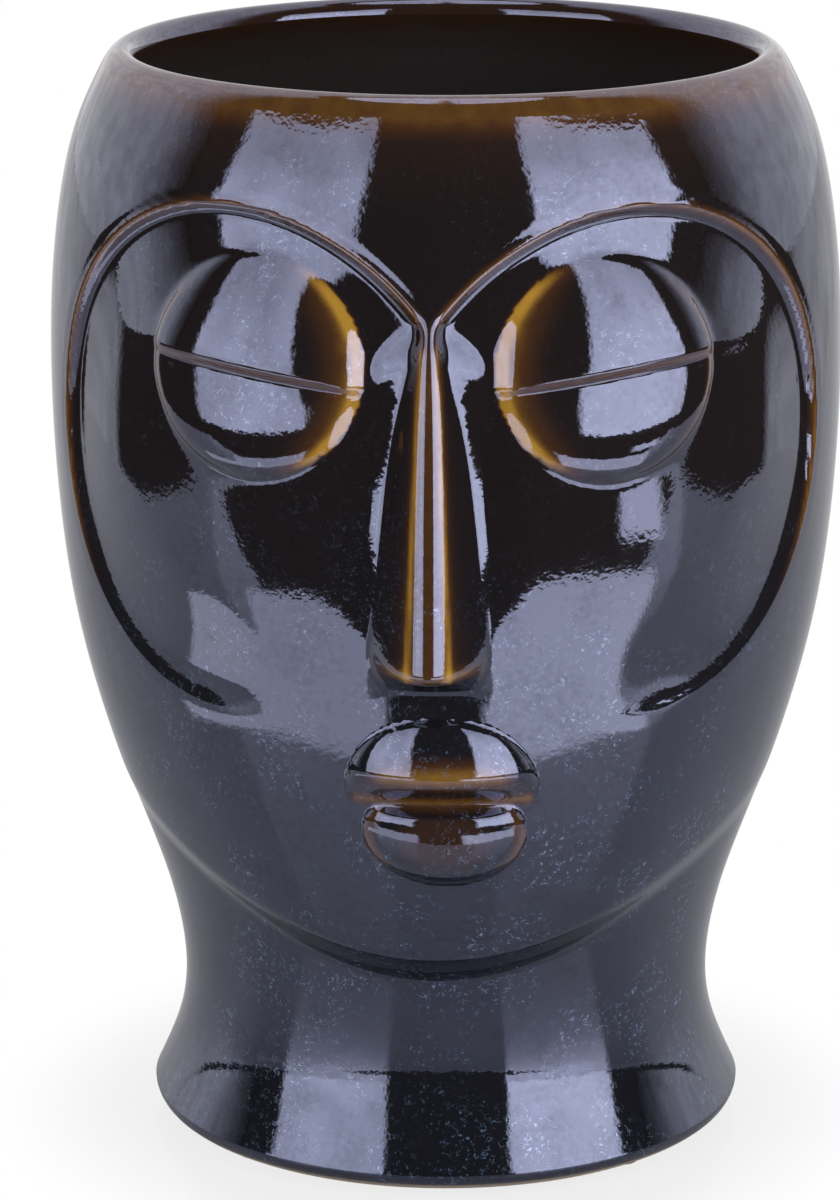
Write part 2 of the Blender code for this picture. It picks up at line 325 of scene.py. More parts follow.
@dataclass(frozen=True)
class MaskLine:
    """The proud line round the face: an ellipse on each side, which meet in a point above the nose.

    Its turns are degrees round the ellipse; lips, troughs and ramps are sizes above and at its lower end.
    """

    aside: float = 0.043
    level: float = 0.160035
    half_width: float = 0.052
    half_height: float = 0.053
    low_end_turns: Pair = (-106.0, -80.0)
    inner_end_turns: Pair = (-150.0, -141.0)
    lower_turns: Pair = (-20.0, 50.0)
    lips: Pair = (0.0008, 0.0001)
    lip_width: float = 0.0012
    shoulder: float = 0.0030
    troughs: Pair = (0.0024, 0.00145)
    ramps: Pair = (0.0032, 0.00704)
    pillow: float = 0.030
    thin_width: float = 0.0010
    thin_share: float = 0.56
    thin_gain: float = 0.40

    def place(self, side: Array, level: Array) -> tuple[Array, Array, Array]:
        """Where points lie against the line: the ellipse's radial share less one, and the turn round it.

        Args:
            side: Arc lengths from the middle of the face.
            level: Heights above the foot.

        Returns:
            The distance outside the line, how far the line is drawn there, and how far down it is.
        """
        across = (np.abs(side) - self.aside) / self.half_width
        along = (level - self.level) / self.half_height
        outside = (np.hypot(across, along) - 1.0) * 0.5 * (self.half_width + self.half_height)
        turn = np.degrees(np.arctan2(along, across))
        drawn = smooth_step(turn, *self.low_end_turns) * smooth_step(-turn, *self.inner_end_turns)
        return outside, drawn, smooth_step(-turn, *self.lower_turns)

    def relief(self, side: Array, level: Array) -> Array:
        """A proud lip on the line, and a trough from a soft shoulder outside it to the cheek inside.

        Args:
            side: Arc lengths from the middle of the face.
            level: Heights above the foot.

        Returns:
            How far the surface stands out or in.
        """
        outside, drawn, lower = self.place(side, level)
        lip = mixed(*self.lips, lower) * swell(outside, self.lip_width)
        ramp = mixed(*self.ramps, lower)
        trough = mixed(*self.troughs, lower) * smooth_step(-outside, -self.shoulder, ramp)
        trough = trough * (1.0 - smooth_step(-outside, ramp, self.pillow))
        return (lip - trough) * drawn

    def thin(self, side: Array, level: Array) -> Array:
        """How thin the glaze has run: a swelling across the line, most half way down, none at its low end.

        Args:
            side: Arc lengths from the middle of the face.
            level: Heights above the foot.

        Returns:
            A share from 0 to 1.
        """
        outside, drawn, lower = self.place(side, level)
        share = self.thin_share + self.thin_gain * lower * (1.0 - lower)
        return share * swell(outside, self.thin_width) * drawn * (1.0 - lower**4)


@dataclass(frozen=True)
class Eyes:
    """Closed eyes: raised discs with an upper lid that steps out over them, and hollows beside the nose."""

    aside: float = 0.0352
    level: float = 0.1815375
    radius: float = 0.0226
    rise: float = 0.0026
    lean: float = 0.10
    droop: float = 2.6
    inner_lean: float = 0.12
    inner_ease: float = 0.006
    edge_softness: float = 0.12
    lid_step: float = 0.0020
    lid_edge: float = 0.0027
    lid_tilt: float = math.radians(7.0)
    lid_bow: float = 0.036
    lid_fade: float = 0.45
    hollow_depth: float = 0.0025
    hollow_aside: float = 0.0107
    hollow_level: float = 0.163
    hollow_halves: Pair = (0.0066, 0.0255)
    hollow_edge: Pair = (0.84, 1.0)
    ring_at: float = 0.95
    ring_width: float = 0.05
    glow_width: float = 0.30
    ring_share: float = 0.62
    glow_share: float = 0.54
    far_ring_share: float = 0.5
    nose_side: Pair = (0.05, 0.85)
    far_side: Pair = (0.35, 0.95)
    ledge_share: float = 0.45
    ledge_width: float = 0.0011
    ledge_end: float = 1.02

    def place(self, side: Array, level: Array) -> tuple[Array, Array, Array]:
        """Places about an eye's middle: across, away from the nose; above; and as a share of its radius."""
        across, above = np.abs(side) - self.aside, level - self.level
        return across, above, np.hypot(across, above) / self.radius

    def over_lid(self, across: Array, above: Array) -> Array:
        """The height above the lid's edge, which tilts and bows: y - tan(tilt) x + bow (x^2/r - r)."""
        bow = self.lid_bow * (across**2 / self.radius - self.radius)
        return above - math.tan(self.lid_tilt) * across + bow + 0.5 * self.lid_step

    def dome(self, share: Array) -> Array:
        """A flat dome: the root of 1 - share^6, which a hyperbola eases into the cheek."""
        fall = 1.0 - share**6
        return np.sqrt(0.5 * (fall + np.sqrt(fall**2 + self.edge_softness**2)))

    def relief(self, side: Array, level: Array) -> Array:
        """A disc that leans back above and nosewards and droops below, the lid's step, and the hollow.

        Args:
            side: Arc lengths from the middle of the face.
            level: Heights above the foot.

        Returns:
            How far the surface stands out or in.
        """
        across, above, share = self.place(side, level)
        dome = self.dome(share)
        inward = 0.5 * (np.hypot(across, self.inner_ease) - across)
        lean = self.lean * above + self.inner_lean * inward
        disc = (self.rise - lean - self.droop * np.minimum(above, 0.0) ** 2) * dome
        step = smooth_step(self.over_lid(across, above), -0.55 * self.lid_edge, 0.45 * self.lid_edge)
        step *= dome * (1.0 - self.lid_fade * smooth_step(above, 0.0, self.radius))
        hollow = swell(np.abs(side) - self.hollow_aside, self.hollow_halves[0])
        hollow *= swell(level - self.hollow_level, self.hollow_halves[1])
        hollow *= smooth_step(share, *self.hollow_edge)
        return disc + self.lid_step * step - self.hollow_depth * hollow

    def thin(self, side: Array, level: Array) -> Array:
        """How thin the glaze has run: a ring at the disc's edge, broad towards the nose, and the lid's ledge.

        Args:
            side: Arc lengths from the middle of the face.
            level: Heights above the foot.

        Returns:
            A share from 0 to 1.
        """
        across, above, share = self.place(side, level)
        edge = swell(share - self.ring_at, self.ring_width)
        glow = swell(share - self.ring_at, self.glow_width) * (share < 1.0)
        near = smooth_step(-across / self.radius, *self.nose_side)
        far = smooth_step(across / self.radius, *self.far_side)
        ring = near * (self.ring_share * edge + self.glow_share * glow) + self.far_ring_share * far * edge
        ledge = swell(self.over_lid(across, above), self.ledge_width)
        ledge *= smooth_step(self.ledge_end - share, 0.0, self.ring_width)
        return np.maximum(ring, self.ledge_share * ledge)


@dataclass(frozen=True)
class Nose:
    """A straight wedge from the mask line's point down to its tip; each pair of sizes is for top and tip."""

    top: float = 0.188
    tip: float = 0.120555
    reaches: Pair = (0.0868, 0.0950)
    half_widths: Pair = (0.0027, 0.0126)
    ridge_half_widths: Pair = (0.0008, 0.0020)
    underside: float = 0.0050
    wing_lift: float = 0.0040
    wing_fade: float = 1.6
    top_fade: float = 0.010
    foot_rounding: float = 0.30
    tip_sharpness: float = 0.65
    ridge_rounding: float = 0.14
    front_share: float = 0.40
    edge_share: float = 0.7
    edge_aside: float = 1.9
    edge_width: float = 0.0007
    tip_share: float = 1.8
    tip_edge: float = 0.001
    tip_width: float = 0.0018

    def down(self, level: Array) -> Array:
        """The share of the way from the nose's top to its tip."""
        return np.clip((self.top - level) / (self.top - self.tip), 0.0, 1.0)

    def ridge(self, level: Array) -> Array:
        """The ridge's half width, which grows straight from top to tip."""
        return mixed(*self.ridge_half_widths, self.down(level))

    def cover(self, side: Array, level: Array) -> Array:
        """How far the wedge covers the face: a ramp up its flanks, cut off by soft steps below and above.

        The step below lies higher and is softer at the wings than in the middle.

        Args:
            side: Arc lengths from the middle of the face, positive towards +X.
            level: Heights above the foot.

        Returns:
            A share, 1 along the ridge and 0 off the nose.
        """
        foot = mixed(*self.half_widths, self.down(level) ** 0.8)
        ramp = (foot - np.abs(side)) / (foot - self.ridge(level))
        fillet = self.foot_rounding * (1.0 - self.tip_sharpness * self.down(level) ** 2)
        flank = rounded_ramp(ramp, fillet, self.ridge_rounding)
        wing = np.minimum(np.abs(side) / self.half_widths[1], 1.0) ** 4
        edge = self.tip + self.wing_lift * wing
        drop = self.underside * (1.0 + self.wing_fade * wing)
        below = smooth_step((level - edge) / drop, -1.0, 0.3)
        above = 1.0 - smooth_step(level, self.top - 0.3 * self.top_fade, self.top + 0.7 * self.top_fade)
        return flank * below * above

    def lay_over(self, radius: Array, side: Array, level: Array) -> Array:
        """The face's radius, drawn out to the straight ridge by the wedge's cover.

        Args:
            radius: The face's radius without the nose.
            side: Arc lengths from the middle of the face.
            level: Heights above the foot.

        Returns:
            The radius with the nose on it.
        """
        reach = mixed(*self.reaches, self.down(level))
        return radius + (reach - radius) * self.cover(side, level)

    def thin(self, side: Array, level: Array) -> Array:
        """How thin the glaze has run: the wedge, most along its ridge's edges, and the edge under its tip.

        Args:
            side: Arc lengths from the middle of the face.
            level: Heights above the foot.

        Returns:
            A share from 0 to 1.
        """
        cover = self.cover(side, level)
        edges = swell(np.abs(side) - self.edge_aside * self.ridge(level), self.edge_width)
        front = np.clip(self.edge_share * edges * cover + self.front_share * cover**2, 0.0, 1.0)
        tip = self.tip_share * swell(level - self.tip - self.tip_edge, self.tip_width)
        tip *= np.abs(side) < 1.2 * self.half_widths[1]
        return front + tip * (1.0 - cover) * cover


@dataclass(frozen=True)
class Lips:
    """Full lips on a soft swelling; the upper ends in a ledge over the lower, and both lean to one side."""

    level: float = 0.092355
    muzzle_rise: float = 0.0018
    muzzle_half_width: float = 0.030
    muzzle_half_height: float = 0.023
    upper_half_width: float = 0.0205
    upper_height: float = 0.0176
    upper_rise: float = 0.0080
    upper_power: float = 0.65
    lower_half_width: float = 0.0178
    lower_height: float = 0.0200
    lower_rise: float = 0.0054
    lower_power: float = 0.6
    lower_middle: float = 0.43
    lip_lean: float = 0.16
    ledge: float = 0.0092
    jaw_lean: float = math.radians(3.0)
    jaw_lean_level: float = 0.14006
    ledge_share: float = 0.55
    ledge_drop: float = 0.0006
    ledge_width: float = 0.0018
    front_share: float = 0.62
    front_rise: float = 0.0062
    front_width: float = 0.0036
    corner_share: float = 0.42
    corner_top: float = -0.002
    middle_share: float = 0.25
    middle_top: float = -0.003

    def shapes(self, side: Array, level: Array) -> tuple[Array, ...]:
        """The place of points against the lips, each an ellipse: 1 - (x/a)^2 - (y/b)^2.

        Args:
            side: Arc lengths from the middle of the face.
            level: Heights above the foot.

        Returns:
            The distance across the leaning mouth, the heights above its line and above the lower lip's
            middle, and the two lips' ellipses.
        """
        across = side - math.tan(self.jaw_lean) * np.clip(self.jaw_lean_level - level, 0.0, None)
        above = level - self.level
        over_lower = above + self.lower_middle * self.lower_height
        lower_half_height = (1.0 - self.lower_middle) * self.lower_height
        upper = 1.0 - (across / self.upper_half_width) ** 2 - (above / self.upper_height) ** 2
        lower = 1.0 - (across / self.lower_half_width) ** 2 - (over_lower / lower_half_height) ** 2
        return across, above, over_lower, np.clip(upper, 0.0, 1.0), np.clip(lower, 0.0, 1.0)

    def relief(self, side: Array, level: Array) -> Array:
        """The swelling, and on it whichever lip stands further out; each lip is a power of its ellipse.

        Args:
            side: Arc lengths from the middle of the face.
            level: Heights above the foot.

        Returns:
            How far the surface stands out or in.
        """
        across, above, over_lower, upper, lower = self.shapes(side, level)
        muzzle = swell(across, self.muzzle_half_width) * swell(above, self.muzzle_half_height)
        upper = (self.upper_rise - self.lip_lean * above) * upper**self.upper_power
        upper *= smooth_step(above, -0.28 * self.ledge, 0.72 * self.ledge)
        lower = (self.lower_rise - self.lip_lean * over_lower) * lower**self.lower_power
        lower *= smooth_step(-above, 0.1 * self.ledge, 0.42 * self.ledge)
        return self.muzzle_rise * muzzle + np.maximum(upper, lower)

    def thin(self, side: Array, level: Array) -> Array:
        """How thin the glaze has run: the ledge's lower edge, both lips' fronts and the lower lip's corners.

        Args:
            side: Arc lengths from the middle of the face.
            level: Heights above the foot.

        Returns:
            A share from 0 to 1.
        """
        across, above, _, upper, lower = self.shapes(side, level)
        ledge = self.ledge_share * swell(above + self.ledge_drop, self.ledge_width)
        ledge *= smooth_step(upper, 0.02, 0.2)
        front = self.front_share * swell(above - self.front_rise, self.front_width)
        front *= smooth_step(upper, 0.20, 0.65)
        corners = self.corner_share * smooth_step(lower, 0.0, 0.1) * (1.0 - smooth_step(lower, 0.2, 0.55))
        corners *= smooth_step(np.abs(across) / self.lower_half_width, 0.45, 0.85)
        corners *= above < self.corner_top
        middle = self.middle_share * smooth_step(lower, 0.4, 0.9) * (above < self.middle_top)
        return np.max((ledge, front, corners, middle), axis=0)


@dataclass(frozen=True)
class Face:
    """The modelled face, laid out on a sheet wrapped round the head at one radius."""

    sheet_radius: float = 0.080
    outline: TurnedOutline = field(default_factory=TurnedOutline)
    jaw: Jaw = field(default_factory=Jaw)
    mask_line: MaskLine = field(default_factory=MaskLine)
    eyes: Eyes = field(default_factory=Eyes)
    nose: Nose = field(default_factory=Nose)
    lips: Lips = field(default_factory=Lips)

    def radius(self, angle: Array, level: Array) -> Array:
        """The outside radius: the turned outline, plus each form's relief, with the nose laid over them.

        Args:
            angle: Angles from the middle of the face.
            level: Heights above the foot.

        Returns:
            The radius at each angle and level.
        """
        side = self.sheet_radius * angle
        relief = self.jaw.relief(angle, level)
        for form in (self.mask_line, self.eyes, self.lips):
            relief = relief + form.relief(side, level)
        return self.nose.lay_over(self.outline.radius(level) + relief, side, level)

    def thin(self, angle: Array, level: Array) -> Array:
        """How thin the glaze has run off the face's edges: the largest of its forms' shares.

        Args:
            angle: Angles from the middle of the face.
            level: Heights above the foot.

        Returns:
            A share from 0 to 1 at each angle and level.
        """
        side = self.sheet_radius * angle
        shares = [form.thin(side, level) for form in (self.mask_line, self.eyes, self.nose, self.lips)]
        return np.clip(np.max(shares, axis=0), 0.0, 1.0)


class Graph:
    """A material's nodes, with short ways to add a pattern and to join it on."""

    def __init__(self, name: str) -> None:
        """Starts a material whose patterns are read in Object coordinates.

        Args:
            name: The material's name.
        """
        self.material = bpy.data.materials.new(name)
        self.material.use_nodes = True
        self.nodes = self.material.node_tree.nodes
        self.links = self.material.node_tree.links
        self.shader = self.nodes["Principled BSDF"]
        self.place = self.add("TexCoord").outputs["Object"]

    def feed(self, socket: Socket, value: Value) -> None:
        """Links a pattern to a socket, or sets the socket to a plain value."""
        if isinstance(value, bpy.types.NodeSocket):
            self.links.new(value, socket)
        else:
            socket.default_value = value

    def add(self, kind: str, settings: dict[str, str] | None = None, **inputs: Value) -> bpy.types.Node:
        """Adds a node, sets it up and feeds its inputs.

        Args:
            kind: The node's kind.
            settings: What its settings are, by name.
            **inputs: A value for each input, named with an underscore for each space.

        Returns:
            The node.
        """
        node = self.nodes.new(f"ShaderNode{kind}")
        for name, setting in (settings or {}).items():
            setattr(node, name, setting)
        for name, value in inputs.items():
            self.feed(node.inputs[name.replace("_", " ")], value)
        return node

    def paint(self, name: str, value: Value) -> None:
        """Feeds one of the shader's inputs."""
        self.feed(self.shader.inputs[name], value)

    def noise(self, scale: float, detail: float = 2.0, stir: float = 0.0) -> Socket:
        """Cloudy noise, about 0.5 on average: clouds in a metre, finer layers and how far it is stirred."""
        node = self.add("TexNoise", Vector=self.place, Scale=scale, Detail=detail, Distortion=stir)
        return node.outputs["Fac"]

    def sum(self, kind: Sum, first: Value, second: Value = 0.0) -> Socket:
        """One sum on two patterns or numbers.

        Args:
            kind: Which sum.
            first: A pattern or a number.
            second: Another one.

        Returns:
            The result's socket.
        """
        node = self.add("Math", {"operation": kind.value})
        for socket, value in zip(node.inputs, (first, second)):
            self.feed(socket, value)
        return node.outputs[0]

    def times(self, first: Value, second: Value) -> Socket:
        """The product of two patterns or numbers."""
        return self.sum(Sum.TIMES, first, second)

    def step(self, value: Socket, start: float, end: float) -> Socket:
        """A smooth step of a pattern, from 0 at start to 1 at end."""
        smooth = {"interpolation_type": "SMOOTHSTEP"}
        return self.add("MapRange", smooth, Value=value, From_Min=start, From_Max=end).outputs["Result"]

    def spread(self, value: Socket, low: float, high: float) -> Socket:
        """A pattern from 0 to 1 spread between two numbers."""
        return self.add("MapRange", Value=value, To_Min=low, To_Max=high).outputs["Result"]

    def blend(self, share: Socket, first: Socket | Colour, second: Socket | Colour) -> Socket:
        """A mix of two colours by a share.

        Args:
            share: 0 gives the first colour and 1 the second.
            first: A colour or a pattern of colours.
            second: Another one.

        Returns:
            The mixed colour's socket.
        """
        node = self.add("Mix", {"data_type": "RGBA"}, Factor=share)
        for name, colour in (("A", first), ("B", second)):
            self.feed(node.inputs[name], (*colour, 1.0) if isinstance(colour, tuple) else colour)
        return node.outputs["Result"]

    def attribute(self, name: str) -> Socket:
        """A share that the mesh carries at its points."""
        return self.add("Attribute", {"attribute_name": name}).outputs["Fac"]

    def height(self) -> Socket:
        """The height above the floor."""
        return self.add("SeparateXYZ", Vector=self.place).outputs["Z"]

    def show(self, shader: Socket) -> None:
        """Makes a shader the material's surface."""
        self.links.new(shader, self.nodes["Material Output"].inputs["Surface"])

    def mix(self, share: Socket, first: Socket, second: Socket) -> None:
        """Makes the surface a mix of two shaders.

        Args:
            share: 0 gives the first shader and 1 the second.
            first: A shader.
            second: Another one.
        """
        node = self.add("MixShader")
        for socket, value in zip(node.inputs, (share, first, second)):
            self.links.new(value, socket)
        self.show(node.outputs["Shader"])

    def bump(self, value: Socket, depth: float) -> None:
        """Raises the surface by a pattern, to so many metres."""
        self.paint("Normal", self.add("Bump", Height=value, Distance=depth).outputs["Normal"])


@dataclass(frozen=True)
class ReactiveGlaze:
    """A glossy reactive glaze over cream clay: dark, honey where it runs thin, and blue flecks low down."""

    upper: Colour = (0.0110, 0.0076, 0.0066)
    lower: Colour = (0.0070, 0.0073, 0.0094)
    brown: Colour = (0.071, 0.027, 0.0065)
    honey: Colour = (0.45, 0.24, 0.030)
    fleck: Colour = (0.14, 0.227, 0.38)
    clay: Colour = (0.60, 0.47, 0.32)
    clay_grain: Colour = (0.44, 0.33, 0.21)
    inside: Colour = (0.056, 0.046, 0.045)
    # painted light: a blue tint on the glaze's reflections, which stands in for the bluish light of the
    # softboxes
    painted_blue_light_tint: Colour = (0.625, 0.672, 1.0)
    turn_levels: Pair = (0.075, 0.175)
    drift: float = 0.035
    brown_thin: Pair = (0.02, 0.55)
    honey_thin: Pair = (0.35, 1.05)
    uneven_thin: Pair = (0.82, 1.18)
    fleck_scale: float = 820.0
    fleck_amounts: Pair = (0.60, 0.05)
    stroke_edges: Pair = (0.006, 0.030)
    break_edges: Pair = (0.50, 0.60)
    dot_edges: Pair = (0.68, 0.78)
    crowd_edges: Pair = (0.38, 0.66)
    roughness: Pair = (0.02, 0.07)
    clay_roughness: float = 0.8
    mirror_levels: Pair = (0.33, 0.75)
    crystal_mirror: float = 0.7
    ripple: float = 0.000016
    slow_ripple: float = 0.9
    fleck_ripple: float = 0.25
    gloss_index: float = 1.85

    def crystals(self, graph: Graph) -> Socket:
        """Fine winding strokes, broken up, and dots, which gather in crowds.

        Args:
            graph: The glaze's nodes.

        Returns:
            The crystals' share.
        """
        winding = graph.sum(Sum.LESS, graph.noise(self.fleck_scale, 1.0, 0.9), 0.5)
        strokes = graph.sum(Sum.LESS, 1.0, graph.step(graph.sum(Sum.SIZE, winding), *self.stroke_edges))
        breaks = graph.step(graph.noise(0.8 * self.fleck_scale, 1.0), *self.break_edges)
        dots = graph.step(graph.noise(1.3 * self.fleck_scale, 1.0), *self.dot_edges)
        crowd = graph.step(graph.noise(70.0, 3.0), *self.crowd_edges)
        return graph.times(graph.sum(Sum.MOST, graph.times(strokes, breaks), dots), crowd)

    def material(self) -> bpy.types.Material:
        """The glaze's material; it reads the shares thin, inside and bare that the pot's mesh carries.

        Returns:
            The material.
        """
        graph = Graph("reactive_glaze")
        clouds = graph.spread(graph.noise(38.0, 3.0), -self.drift, self.drift)
        upward = graph.step(graph.sum(Sum.ADD, graph.height(), clouds), *self.turn_levels)
        colour = graph.blend(upward, self.lower, self.upper)

        uneven = graph.spread(graph.noise(260.0, 3.0), *self.uneven_thin)
        thin = graph.times(graph.attribute("thin"), uneven)
        colour = graph.blend(graph.step(thin, *self.brown_thin), colour, self.brown)
        colour = graph.blend(graph.step(thin, *self.honey_thin), colour, self.honey)

        crystals = self.crystals(graph)
        flecks = graph.times(crystals, graph.spread(upward, *self.fleck_amounts))
        colour = graph.blend(flecks, colour, self.fleck)

        colour = graph.blend(graph.attribute("inside"), colour, self.inside)
        bare = graph.attribute("bare")
        clay = graph.blend(graph.noise(900.0, 4.0), self.clay, self.clay_grain)
        graph.paint("Base Color", graph.blend(bare, colour, clay))

        gloss = graph.spread(graph.noise(150.0, 3.0), *self.roughness)
        rough = graph.sum(Sum.MOST, gloss, graph.times(bare, self.clay_roughness))
        graph.paint("Roughness", rough)
        graph.paint("IOR", self.gloss_index)
        clouds = graph.sum(Sum.ADD, graph.noise(700.0, 3.0), graph.noise(90.0, 2.0))
        cloudy = graph.spread(clouds, *self.mirror_levels)
        sparkle = graph.sum(Sum.ADD, cloudy, graph.times(crystals, self.crystal_mirror))
        graph.paint("Specular IOR Level", sparkle)
        # painted light: the reflections take the softboxes' bluish light colour from this tint, not from the
        # lamps
        graph.paint("Specular Tint", (*self.painted_blue_light_tint, 1.0))
        slow = graph.times(graph.noise(150.0, 1.0), self.slow_ripple)
        ripple = graph.sum(Sum.ADD, graph.noise(800.0, 1.5), slow)
        ripple = graph.sum(Sum.ADD, ripple, graph.times(flecks, self.fleck_ripple))
        graph.bump(ripple, self.ripple)
        return graph.material


@dataclass(frozen=True)
class SoftSilicone:
    """Grey silicone rubber with a satin skin and a little dust."""

    grey: Colour = (0.17, 0.17, 0.165)
    dust: Colour = (0.27, 0.265, 0.25)
    roughness: Pair = (0.42, 0.66)
    grain: float = 0.00003

    def material(self) -> bpy.types.Material:
        """The silicone's material: cloudy dust, uneven gloss and a fine moulded grain.

        Returns:
            The material.
        """
        graph = Graph("soft_silicone")
        cloud = graph.step(graph.noise(240.0, 4.0), 0.42, 0.72)
        graph.paint("Base Color", graph.blend(cloud, self.grey, self.dust))
        rough = graph.spread(graph.noise(420.0, 3.0), *self.roughness)
        graph.paint("Roughness", rough)
        graph.bump(graph.noise(2600.0, 2.0), self.grain)
        return graph.material


@dataclass(frozen=True)
class PressedFelt:
    """Pressed brown felt: matted fibres in two shades."""

    dark: Colour = (0.075, 0.060, 0.047)
    pale: Colour = (0.17, 0.14, 0.11)
    roughness: Pair = (0.85, 1.0)
    sheen: float = 0.4
    pile: float = 0.00025

    def material(self) -> bpy.types.Material:
        """The felt's material: stirred fibres, a soft sheen and a matted surface.

        Returns:
            The material.
        """
        graph = Graph("pressed_felt")
        fibres = graph.noise(2400.0, 4.0, 2.5)
        graph.paint("Base Color", graph.blend(fibres, self.dark, self.pale))
        graph.paint("Roughness", graph.spread(graph.noise(900.0), *self.roughness))
        graph.paint("Sheen Weight", self.sheen)
        graph.bump(fibres, self.pile)
        return graph.material


@dataclass
class GlazedPot:
    """The hollow ceramic pot with its face, foot ring and drain hole, on its axis."""

    face: Face = field(default_factory=Face)
    axis_back: float = 0.004684
    stand: float = 0.0015
    mouth_radius: float = 0.0653
    crown_inset: float = 0.0004
    wall: float = 0.007
    floor_top: float = 0.011
    foot_recess: float = 0.003
    foot_edge: float = 0.0045
    foot_ring: float = 0.009
    drain_radius: float = 0.008
    chamfer: float = 0.0006
    columns: int = 330
    face_rows: int = 242
    rim_rows: int = 7
    fine_from: Pair = (0.038, 0.050)
    fine_to: Pair = (0.204, 0.216)
    normal_step: float = 0.0007
    bare_levels: Pair = (0.0009, 0.0021)
    inside_fade: float = 0.012
    edge_band: float = 0.32
    edge_band_depth: float = 0.005
    brow_band: float = 0.16
    brow_band_from: float = 0.026
    brow_band_to: float = 0.002
    mouth_band: float = 0.24
    mouth_band_depth: float = 0.020
    finish: ReactiveGlaze = field(default_factory=ReactiveGlaze)

    def angles(self) -> Array:
        """The angles of the grid's columns: pi (u + u^11) / 2, which crowd together on the face."""
        share = np.linspace(-1.0, 1.0, self.columns, endpoint=False)
        return 0.5 * math.pi * (share + share**11)

    def outside_levels(self) -> Array:
        """The levels of the outside's rows, twice as close on the face as on the neck and the forehead.

        Returns:
            As many levels as there are rows, from the foot up.
        """
        outline = self.face.outline
        fine = np.linspace(outline.level_of(0), outline.level_of(-1), 2000)
        density = 0.5 + 0.5 * smooth_step(fine, *self.fine_from) * (1.0 - smooth_step(fine, *self.fine_to))
        travel = np.cumsum(density)
        return np.interp(np.linspace(travel[0], travel[-1], self.face_rows), travel, fine)

    def inner_section(self) -> Array:
        """The section over the rim, down the inside, through the drain hole and round the foot.

        The rim is a parabola from the outside up to its crown, and a quarter of an ellipse inside it.

        Returns:
            Rows of (radius, level).
        """
        outline = self.face.outline
        rim_level, rim_radius = outline.level_of(-1), outline.radius_of(-1)
        crown = 0.5 * (rim_radius + self.mouth_radius) - self.crown_inset
        rise = outline.height - rim_level
        share = np.linspace(1.0, 0.0, self.rim_rows + 1)[1:]
        rim_out = np.stack((mixed(crown, rim_radius, share), outline.height - rise * share**2), axis=-1)
        rim_in = quarter((crown, rim_level), (crown - self.mouth_radius, rise), 90.0, 180.0, 8)[1:]
        neck = outline.level_of(2)
        levels = np.linspace(rim_level - 1.5 * self.wall, neck, 20)
        inside = np.stack((outline.radius(levels) - self.wall, levels), axis=-1)
        fillet = neck - self.floor_top
        corner = quarter((inside[-1, 0] - fillet, neck), (fillet, fillet), 0.0, -90.0, 8)[1:]
        hole, cut, top, under = self.drain_radius, self.chamfer, self.floor_top, self.foot_recess
        flat = outline.radius_of(0) - self.foot_edge
        ring = flat - self.foot_ring
        below = np.array(
            [
                (hole + 3.0 * cut, top),
                (hole + cut, top),
                (hole, top - cut),
                (hole, under + cut),
                (hole + cut, under),
                (hole + 3.0 * cut, under),
                (ring - 2.0 * cut, under),
                (ring - 0.3 * cut, under - 0.3 * cut),
                (ring, 2.0 * cut),
                (ring + cut, 0.0),
                (ring + 3.0 * cut, 0.0),
                (flat - 2.0 * cut, 0.0),
            ]
        )
        foot = quarter((flat, self.foot_edge), (self.foot_edge, self.foot_edge), -90.0, 0.0, 9)[:-1]
        return np.concatenate((rim_out, rim_in, inside, corner, below, foot))

    def build(self) -> Piece:
        """Lays the grid: face rows outside, then the inner section's rows, closed both ways.

        Returns:
            The pot's object, riding on its body and glazed.
        """
        angle = self.angles()
        level = self.outside_levels()
        turn, height = np.meshgrid(angle, level)
        outside = self.face.radius(turn, height)
        section = self.inner_section()
        radius = np.concatenate((outside, np.repeat(section[:, :1], self.columns, axis=1)))
        rise = np.concatenate((height, np.repeat(section[:, 1:], self.columns, axis=1)))
        turn = np.broadcast_to(angle, radius.shape)
        x, y = radius * np.sin(turn), self.axis_back - radius * np.cos(turn)
        points = np.stack((x, y, self.stand + rise), axis=-1)
        normals = self.face_normals(angle, level)
        faces = split_along(grid_faces(*radius.shape, True, True), normals)
        pot = surface("glazed_pot", points, faces.tolist())
        own = np.zeros((radius.size - height.size, 3))
        pot.data.normals_split_custom_set_from_vertices(np.concatenate((normals.reshape(-1, 3), own)))
        carry(pot, "thin", self.thin_glaze(turn, rise))
        carry(pot, "inside", self.inner_share(rise))
        carry(pot, "bare", 1.0 - smooth_step(rise, *self.bare_levels))
        pot.data.materials.append(self.finish.material())
        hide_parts("pot_shell")
        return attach(pot, Body.POT.value)

    def face_normals(self, angle: Array, level: Array) -> Array:
        """The outside's normals: (r sin t - r' cos t, -r cos t - r' sin t, -r r_z), made one unit long.

        The radius r is a function of the angle t and the level z; r' is its slope round the pot and r_z
        its slope upwards, both by differences over about a step of the grid.

        Args:
            angle: The columns' angles.
            level: The outside rows' levels.

        Returns:
            A grid of normals, one at each of the outside's points.
        """
        turn, height = np.meshgrid(angle, level)
        step = self.normal_step
        radius = self.face.radius(turn, height)
        ahead = self.face.radius(turn + step / radius, height)
        behind = self.face.radius(turn - step / radius, height)
        around = (ahead - behind) / (2.0 * step) * radius
        over = np.minimum(height + step, level[-1])
        under = np.maximum(height - step, level[0])
        upward = (self.face.radius(turn, over) - self.face.radius(turn, under)) / (over - under)
        x = radius * np.sin(turn) - around * np.cos(turn)
        y = -radius * np.cos(turn) - around * np.sin(turn)
        normals = np.stack((x, y, -radius * upward), axis=-1)
        return normals / np.linalg.norm(normals, axis=-1, keepdims=True)

